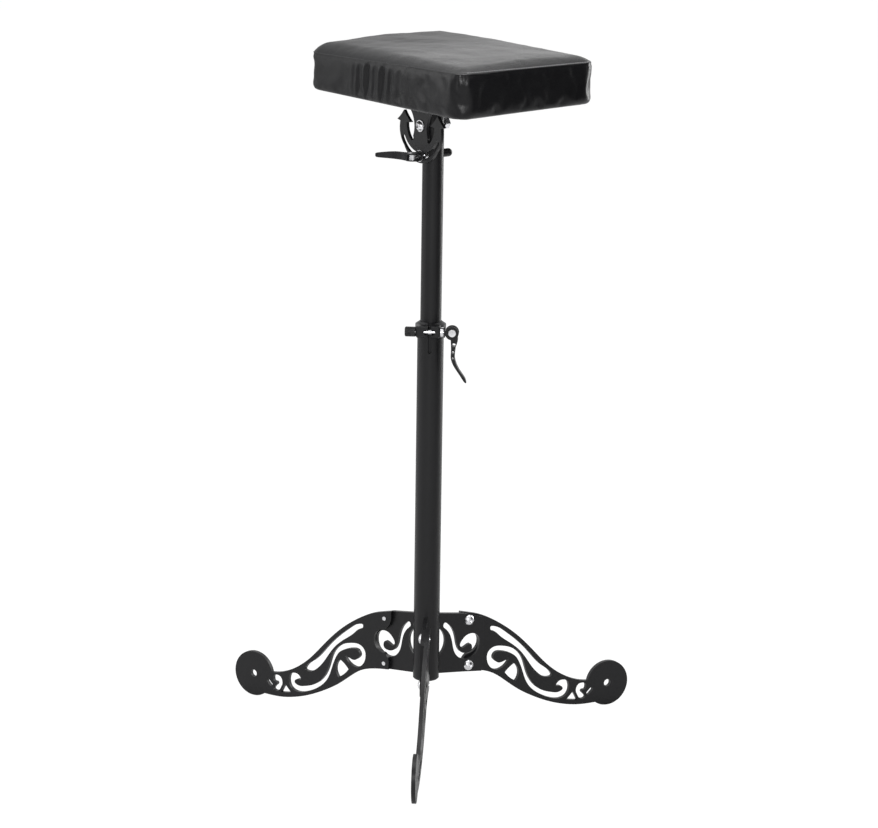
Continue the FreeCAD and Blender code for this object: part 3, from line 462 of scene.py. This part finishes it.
def select_edges(piece, test):
    """In edit mode, select only the edges whose two ends pass a test."""
    bpy.ops.mesh.select_mode(type="EDGE")
    bpy.ops.mesh.select_all(action="DESELECT")
    bpy.ops.object.mode_set(mode="OBJECT")
    mesh = piece.data
    for edge in mesh.edges:
        a, b = (mesh.vertices[i].co for i in edge.vertices)
        edge.select = test(a, b)
    bpy.ops.object.mode_set(mode="EDIT")


def make_active(piece):
    deselect_all()
    bpy.context.view_layer.objects.active = piece
    piece.select_set(True)


def apply_modifier(piece, kind, **settings):
    make_active(piece)
    modifier = piece.modifiers.new(kind.lower(), kind)
    for key, value in settings.items():
        setattr(modifier, key, value)
    bpy.ops.object.modifier_apply(modifier=modifier.name)


def head_box(node):
    """Lowest and highest corner of a node along the bracket's own axes, from the pivot."""
    back = HEAD.inverted()
    points = np.array([back @ v.co for v in NODES[node].data.vertices])
    return Vector(points.min(0)), Vector(points.max(0))


def coordinates(mesh):
    points = np.empty(len(mesh.vertices) * 3)
    mesh.vertices.foreach_get("co", points)
    return points.reshape(-1, 3)


def set_coordinates(mesh, points):
    mesh.vertices.foreach_set("co", points.ravel())
    mesh.update()


def finish_piece(piece, body, material, matrix=None):
    """Place the mesh in the stand's frame, dress it and hang it on its body."""
    if matrix is not None:
        piece.data.transform(matrix)
    piece.data.materials.clear()
    piece.data.materials.append(MATERIALS[material])
    deselect_all()
    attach(piece, body)


# Pad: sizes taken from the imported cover, along the bracket's axes
PAD_LOW, PAD_HIGH = head_box("pad_cover")
PAD_MIDDLE = (PAD_LOW + PAD_HIGH) / 2
PAD_HALF = (PAD_HIGH - PAD_LOW) / 2 + Vector((2.2 * MM, 1.8 * MM, 0))    # the filled cover stands proud
SEAM_HEIGHT = 48 * MM
SEAM_CORNER = 20 * MM
TOP_ROUND, LOW_ROUND = 8 * MM, 1.8 * MM
ROLL_RISE, ROLL_WIDTH = 7.4 * MM, 24 * MM       # the soft roll over the seam
CROWN_RISE, CROWN_WIDTH = 1.4 * MM, 75 * MM     # and the slow crown of the top
MIDDLE_RISE = 2.8 * MM                          # how much higher the top stands between the corners
# The seam sags towards the far end: its height in the middle, and how it runs along and across
SEAM_MIDDLE, SEAM_ALONG, SEAM_ACROSS = 46.0 * MM, 3.4 * MM, -0.6 * MM
CORNER_DROP = 1.9 * MM                          # how far the near corner sags under the board
MARGIN = 12.5 * MM                              # width of the cover turned in under the board
RECESS = 1.5 * MM                               # depth of the recess inside it, for the dust cover
SIDE_DEPTH, EDGE_DEPTH = 4 * MM, 7 * MM         # how deep the moves of the sides and the seam reach
UNDERSIDE = 0.8 * MM                            # what lies lower than this is the underside

# Pleats on the long near side: place along it, depth and width in millimetres
PLEATS = ((-58, 0.8, 5.0), (-49.5, 1.4, 5.0), (-34, 3.6, 5.4), (-20, 1.1, 5.0), (-6, 3.3, 5.6),
          (9, 1.4, 6.0), (24, 0.7, 7.0), (42, 0.4, 8.0))
PLEAT_LEAN = 4 * MM
# Upright folds at the near corner: the way they face and their width, in degrees
CORNER_FOLDS = ((-52, 11), (-24, 12))
FOLD_DEEP, FOLD_MIDDLE, FOLD_REACH = 2.1 * MM, 36.5 * MM, 7.5 * MM
# Slanting creases on the short near side: places along it in millimetres
CREASE_PLACES = (-18, -4)
CREASE_DEEP, CREASE_WIDTH, CREASE_MIDDLE, CREASE_SLANT = 0.4 * MM, 4.5 * MM, 30 * MM, 0.55
# Noise of the cover: how fine it is
WAVE_FINE, CREASE_FINE, GATHER_FINE = 26.0, 75.0, 150.0

# Cloth under pressure, held under the board and at the seam
CLOTH_VOXEL = 5.4 * MM
CLOTH_CAP = 1.6 * MM                            # the furthest that a point may move
CLOTH_FRAMES = 20
CLOTH_HOLD = 3 * MM
CLOTH_KEPT_ON_TOP = 0.3                         # share of its moves that the top keeps

# Stitches
STITCH_STEP = 3.6 * MM
STITCH_LENGTH = 2.7 * MM
STITCH_ABOVE_SEAM = 2.6 * MM
STITCH_TILT = math.radians(5)
THREAD_RADIUS = 0.32 * MM
THREAD_PROUD = 0.35                             # share of its radius that the thread's middle stands out
PUCKER_WIDE, PUCKER_LONG = 3.0, 1.15            # a pucker's size beside a stitch's
LOOK_FROM = 0.02                                # how far outside the pad its surface is looked for


def bump_at(distance, width):
    return np.exp(-(distance / width) ** 2)


def share_of(length, whole):
    return np.clip(length / whole, 0, 1)


def side_distance(x, y):
    """How far in from the pad's rounded outline a point lies, and the outward direction there."""
    qx, qy = np.abs(x) - (PAD_HALF.x - SEAM_CORNER), np.abs(y) - (PAD_HALF.y - SEAM_CORNER)
    ox, oy = np.maximum(qx, 0), np.maximum(qy, 0)
    length = np.hypot(ox, oy)
    outside = np.where(length > 0, SEAM_CORNER - length, 0)
    inside = SEAM_CORNER - np.maximum(qx, qy)
    both = (qx > 0) & (qy > 0)
    distance = np.where(both, outside, inside)
    flat_x = (~both) & (qx >= qy)
    nx = np.where(both, ox / np.maximum(length, TINY), np.where(flat_x, 1.0, 0.0)) * np.sign(x)
    ny = np.where(both, oy / np.maximum(length, TINY), np.where(flat_x, 0.0, 1.0)) * np.sign(y)
    return distance, nx, ny


def noise_field(points, scale, seed):
    """Smooth noise at each point, roughly -1 to 1, the same on each run."""
    shift = Vector((seed * 3.1, seed * 1.7, seed * 0.9))
    return np.array([smooth_noise(Vector(p) * scale + shift) for p in points])


class Cover:
    """The cover's points as places on the pad, and the noise there."""

    def __init__(self, points):
        self.x, self.y = points[:, 0] - PAD_MIDDLE.x, points[:, 1] - PAD_MIDDLE.y
        self.z = points[:, 2] - PAD_LOW.z
        self.above_seam = self.z - SEAM_HEIGHT
        self.distance, self.nx, self.ny = side_distance(self.x, self.y)
        self.depth = np.clip(self.distance, 0, None)
        self.rise = share_of(self.z, SEAM_HEIGHT)
        self.top = share_of(self.above_seam, 1.0 * MM)
        self.edge = np.clip(1 - self.distance / EDGE_DEPTH, 0, 1)
        self.side = np.clip(1 - self.distance / SIDE_DEPTH, 0, 1) * (self.above_seam < 3 * MM)
        self.short_side = np.clip(self.nx, 0, 1) ** 2
        self.wave = noise_field(points, WAVE_FINE, 1)
        self.crease = noise_field(points * np.array([1, 1, 0.45]), CREASE_FINE, 2)
        self.gather = noise_field(points, GATHER_FINE, 3)


def drawn_sides(cover):
    """Sides drawn in between the corners and between board and seam."""
    along = np.where(np.abs(cover.ny) > 0.7, cover.x / PAD_HALF.x,
                     np.where(np.abs(cover.nx) > 0.7, cover.y / PAD_HALF.y, 1.0))
    between = 1 - along ** 2
    bowed = (0.3 * MM + 1.1 * MM * between) * np.sin(np.pi * cover.rise) ** 0.8
    return cover.side * (bowed + 0.7 * MM * between)


def seam_groove(cover):
    """Groove along the seam, and the cover standing proud over it on the short near side."""
    groove = 0.6 * MM * bump_at(cover.above_seam, 1.2 * MM)
    proud = 0.8 * MM * cover.short_side * bump_at(cover.above_seam - 2.6 * MM, 1.5 * MM)
    return cover.edge * (groove - proud)


def pleat_folds(cover):
    """Pleats on the long near side, slanting a little, fading towards the seam and the board."""
    fade = share_of(-cover.above_seam, 9 * MM) ** 0.7 * share_of(cover.z - 2 * MM, 16 * MM) ** 0.8
    lean = PLEAT_LEAN * (0.5 - cover.rise)
    folds = np.zeros(len(cover.x))
    for place, deep, width in PLEATS:
        across = cover.x - place * MM + lean
        folds -= 0.5 * deep * MM * bump_at(across, width * MM * 0.42)
        folds += 0.9 * deep * MM * bump_at(across - width * MM, width * MM * 0.4)
    return cover.side * (cover.ny < -0.7) * fade * folds


def corner_folds(cover):
    """Two short upright folds under the seam at the near corner, small gathers at all four."""
    around = np.degrees(np.arctan2(cover.ny, cover.nx))
    upright = bump_at(cover.z - FOLD_MIDDLE, FOLD_REACH) * (cover.x > 0)
    folds = -FOLD_DEEP * upright * sum(bump_at(around - angle, width) for angle, width in CORNER_FOLDS)
    corner = np.clip(np.abs(cover.nx) * np.abs(cover.ny) * 2, 0, 1)
    gathers = np.sin(np.radians(around) * 21) * bump_at(cover.above_seam, 9 * MM)
    return cover.side * (folds + corner * 0.28 * MM * gathers)


def slanting_creases(cover):
    """Two faint slanting creases on the short near side."""
    slant = cover.y + (cover.z - CREASE_MIDDLE) * CREASE_SLANT
    creases = sum(bump_at(slant - place * MM, CREASE_WIDTH) for place in CREASE_PLACES)
    return -cover.side * (cover.nx > 0.7) * CREASE_DEEP * creases * np.sin(np.pi * cover.rise)


def fine_waves(cover):
    """Broad waves and finer creases of the sides, and the gathering along the seam."""
    waves = (0.4 * MM * cover.wave + 0.26 * MM * cover.crease) * (1 - 0.6 * cover.short_side)
    gathered = 0.42 * MM * cover.gather * bump_at(cover.above_seam - 1.5 * MM, 4 * MM)
    return cover.side * waves + cover.edge * gathered


def risen_top(cover):
    """How far the top lifts: the roll over the seam, the crown, and waves and gathers on them."""
    roll = ROLL_RISE * (1 - (1 - share_of(cover.depth, ROLL_WIDTH)) ** 2) ** 0.66
    full = 1 - (np.abs(cover.x / PAD_HALF.x) * np.abs(cover.y / PAD_HALF.y)) ** 1.2
    roll *= 1 + MIDDLE_RISE / ROLL_RISE * np.clip(full, 0, 1)
    crown = CROWN_RISE * (1 - (1 - share_of(cover.depth, CROWN_WIDTH)) ** 2)
    waves = share_of(cover.depth, 30 * MM) * (0.8 * MM * cover.wave + 0.22 * MM * cover.crease)
    gathers = 0.25 * MM * cover.gather * np.clip(1 - cover.distance / (14 * MM), 0, 1)
    return cover.top * (roll + crown - cover.above_seam + waves + gathers)


def underside_steps(cover):
    """Recess for the dust cover, inside a slightly uneven turned-in margin."""
    under = cover.z < UNDERSIDE
    recess = np.where(under & (cover.distance > MARGIN), RECESS, 0)
    margin = under & (cover.distance <= MARGIN) & (cover.distance > 3 * MM)
    return recess + np.where(margin, 0.125 * MM * (1 + cover.gather), 0)


def seam_run(x, y):
    """Height of the seam over the pad's underside at a place along and across it."""
    along, across = x / PAD_HALF.x, y / PAD_HALF.y
    return SEAM_MIDDLE + SEAM_ALONG * along + SEAM_ACROSS * across * (1 + along)


def run_to_seam(cover, height):
    """Heights stretched, under and over the seam, to where it runs; the near corner sags."""
    whole = SEAM_HEIGHT + ROLL_RISE + CROWN_RISE
    seam = seam_run(cover.x, cover.y)
    over = seam + (height - SEAM_HEIGHT) * (whole - seam) / (whole - SEAM_HEIGHT)
    height = np.where(height < SEAM_HEIGHT, height * seam / SEAM_HEIGHT, over)
    near_corner = np.clip((cover.x / PAD_HALF.x - cover.y / PAD_HALF.y) / 2, 0, 1) ** 1.5
    low = np.clip(1 - height / (30 * MM), 0, 1) * (cover.distance < MARGIN)
    return height - CORNER_DROP * near_corner * low


def shaped_cover(points):
    """The cover with its draw, seam, roll, pleats and creases."""
    cover = Cover(points)
    inward = (drawn_sides(cover) + seam_groove(cover) + pleat_folds(cover) + corner_folds(cover)
              + slanting_creases(cover) + fine_waves(cover))
    height = run_to_seam(cover, cover.z + risen_top(cover) + underside_steps(cover))
    moved = points.copy()
    moved[:, 0] -= inward * cover.nx
    moved[:, 1] -= inward * cover.ny
    moved[:, 2] = PAD_LOW.z + height
    return moved


def bevelled_block():
    """Start of the cushion: a box with rounded corners, a rounded top edge and a small lower one."""
    deselect_all()
    bpy.ops.mesh.primitive_cube_add(size=1, location=PAD_MIDDLE)
    pad = bpy.context.object
    pad.name = "pad_upholstery"
    pad.scale = PAD_HALF * 2
    bpy.ops.object.transform_apply(location=True, rotation=True, scale=True)
    bpy.ops.object.mode_set(mode="EDIT")
    select_edges(pad, lambda a, b: abs(a.z - b.z) > PAD_HALF.z)
    bpy.ops.mesh.bevel(offset=SEAM_CORNER, segments=8, profile=0.5)
    top = PAD_HIGH.z - 0.01 * MM
    select_edges(pad, lambda a, b: a.z > top and b.z > top)
    bpy.ops.mesh.bevel(offset=TOP_ROUND, segments=6, profile=0.5)
    bottom = PAD_LOW.z + 0.01 * MM
    select_edges(pad, lambda a, b: a.z < bottom and b.z < bottom)
    bpy.ops.mesh.bevel(offset=LOW_ROUND, segments=3, profile=0.5)
    bpy.ops.object.mode_set(mode="OBJECT")
    return pad


def filled_cover(start):
    """The same cover filled out as cloth under pressure, held at the seam and under the board."""
    cloth = start.copy()
    cloth.data = start.data.copy()
    bpy.context.scene.collection.objects.link(cloth)
    points = coordinates(cloth.data)
    z = points[:, 2] - PAD_LOW.z
    distance = side_distance(points[:, 0] - PAD_MIDDLE.x, points[:, 1] - PAD_MIDDLE.y)[0]
    held = (z < CLOTH_HOLD) | ((np.abs(z - SEAM_HEIGHT) < CLOTH_HOLD) & (distance < SIDE_DEPTH))
    pins = cloth.vertex_groups.new(name="held")
    pins.add([int(i) for i in np.nonzero(held)[0]], 1.0, "REPLACE")
    make_active(cloth)
    modifier = cloth.modifiers.new("cloth", "CLOTH")
    settings = modifier.settings
    settings.quality = 5
    settings.mass = 0.4
    settings.use_pressure = True
    settings.uniform_pressure_force = 4.0
    settings.effector_weights.gravity = 0.0
    settings.vertex_group_mass = "held"
    settings.shrink_min = -0.012
    settings.bending_stiffness = 2.0
    modifier.point_cache.frame_start, modifier.point_cache.frame_end = 1, CLOTH_FRAMES
    for count in range(1, CLOTH_FRAMES + 1):
        bpy.context.scene.frame_set(count)
    bpy.ops.object.modifier_apply(modifier=modifier.name)
    moves = coordinates(cloth.data) - points
    length = np.linalg.norm(moves, axis=1, keepdims=True)
    moves *= np.minimum(1, CLOTH_CAP / np.maximum(length, TINY))
    set_coordinates(cloth.data, points + moves)
    bpy.context.scene.frame_set(1)
    return cloth


def model_pad():
    """Boxed cushion in coated leatherette: filled out as cloth, then drawn, seamed and pleated."""
    pad = bevelled_block()
    apply_modifier(pad, "REMESH", mode="VOXEL", voxel_size=CLOTH_VOXEL, adaptivity=0.0)
    cloth = filled_cover(pad)
    apply_modifier(pad, "SUBSURF", levels=2, render_levels=2)
    start = coordinates(pad.data)
    shaped = shaped_cover(start)
    if cloth:
        apply_modifier(cloth, "SUBSURF", levels=2, render_levels=2)
        moves = coordinates(cloth.data) - start
        over = share_of(start[:, 2] - PAD_LOW.z - SEAM_HEIGHT, 4 * MM)
        shaped += moves * (1 - (1 - CLOTH_KEPT_ON_TOP) * over)[:, None]
        bpy.data.objects.remove(cloth)
    # The sides come back to their chosen reach, and nothing hangs lower than the sagging corner
    for axis in (0, 1):
        middle, half = PAD_MIDDLE[axis], PAD_HALF[axis]
        reach = shaped[:, axis] - middle
        shaped[:, axis] = middle + reach * half / np.abs(reach).max()
    shaped[:, 2] = np.clip(shaped[:, 2], PAD_LOW.z - CORNER_DROP, None)
    set_coordinates(pad.data, shaped)
    apply_modifier(pad, "SMOOTH", factor=0.3, iterations=1)
    bpy.ops.object.shade_smooth()
    finish_piece(pad, "pad_head", "black_leather", HEAD)
    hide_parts("pad_cover", "pad_foam")
    return pad


def outline_points(step):
    """Points and outward directions round the pad's rounded outline, at even steps."""
    corner, quarter = SEAM_CORNER, math.pi / 2
    spots = []
    for turn in range(4):
        long_half, short_half = (PAD_HALF.x, PAD_HALF.y) if turn % 2 == 0 else (PAD_HALF.y, PAD_HALF.x)
        rotate = Matrix.Rotation(turn * quarter, 2)
        straight = (short_half - corner) * 2
        count = int(straight / step)
        for i in range(count):
            y = -(short_half - corner) + (i + 0.5) * straight / count
            spots.append((rotate @ Vector((long_half, y)), rotate @ Vector((1, 0))))
        bend = max(2, int(corner * quarter / step))
        for i in range(bend):
            angle = (i + 0.5) * quarter / bend
            way = Vector((math.cos(angle), math.sin(angle)))
            centre = Vector((long_half - corner, short_half - corner))
            spots.append((rotate @ (centre + way * corner), rotate @ way))
    return spots


def joined_copies(name, source, matrices):
    """One mesh holding a copy of a small mesh at each matrix."""
    base = coordinates(source.data)
    faces = [tuple(p.vertices) for p in source.data.polygons]
    points, polygons = [], []
    for matrix in matrices:
        start = len(points)
        points.extend(matrix @ Vector(p) for p in base)
        polygons.extend(tuple(i + start for i in face) for face in faces)
    mesh = bpy.data.meshes.new(name)
    mesh.from_pydata([tuple(p) for p in points], [], polygons)
    piece = bpy.data.objects.new(name, mesh)
    bpy.context.scene.collection.objects.link(piece)
    mesh.polygons.foreach_set("use_smooth", [True] * len(mesh.polygons))
    bpy.data.objects.remove(source)
    return piece


def model_stitching(pad):
    """Row of lock stitches just above the seam, laid on the cover's own surface."""
    deselect_all()
    bpy.ops.mesh.primitive_uv_sphere_add(segments=6, ring_count=6, radius=1)
    stitch = bpy.context.object
    stitch.scale = (THREAD_RADIUS, STITCH_LENGTH / 2, THREAD_RADIUS)
    bpy.ops.object.transform_apply(location=True, rotation=True, scale=True)
    back = HEAD.inverted()
    surface = BVHTree.FromPolygons([back @ v.co for v in pad.data.vertices],
                                   [tuple(p.vertices) for p in pad.data.polygons])
    pucker = Matrix.Diagonal((PUCKER_WIDE, PUCKER_LONG, PUCKER_WIDE, 1))
    matrices, puckers = [], []
    for spot, way in outline_points(STITCH_STEP):
        height = PAD_LOW.z + seam_run(spot.x, spot.y) + STITCH_ABOVE_SEAM
        outside = spot + way * LOOK_FROM
        outside = Vector((PAD_MIDDLE.x + outside.x, PAD_MIDDLE.y + outside.y, height))
        hit = surface.ray_cast(outside, Vector((-way.x, -way.y, 0)))[0]
        if hit is None:
            continue
        along = Vector((-way.y, way.x, 0))
        normal = Vector((way.x, way.y, 0)).normalized()
        axes = Matrix((normal, along, along.cross(normal))).transposed().to_4x4()
        sunk = Matrix.Translation(hit + normal * THREAD_RADIUS * THREAD_PROUD)
        place = HEAD @ sunk @ axes @ Matrix.Rotation(STITCH_TILT, 4, "X")
        matrices.append(place)
        if way.x > 0.9:
            puckers.append(place @ pucker)
    gathers = stitch.copy()
    gathers.data = stitch.data.copy()
    thread = joined_copies("pad_stitching", stitch, matrices)
    finish_piece(thread, "pad_head", "thread")
    # On the short near side the cover is gathered into small puckers, coloured light grey as a painted highlight
    # where the gathers catch the light
    row = joined_copies("seam_puckers", gathers, puckers)
    finish_piece(row, "pad_head", "painted_sheen_leather")


make_camera()
make_world()
make_lights()
make_flag()
make_floor()
MATERIALS = make_materials()
dress_nodes(MATERIALS)
model_stitching(model_pad())

bpy.context.scene.view_settings.view_transform = "Standard"
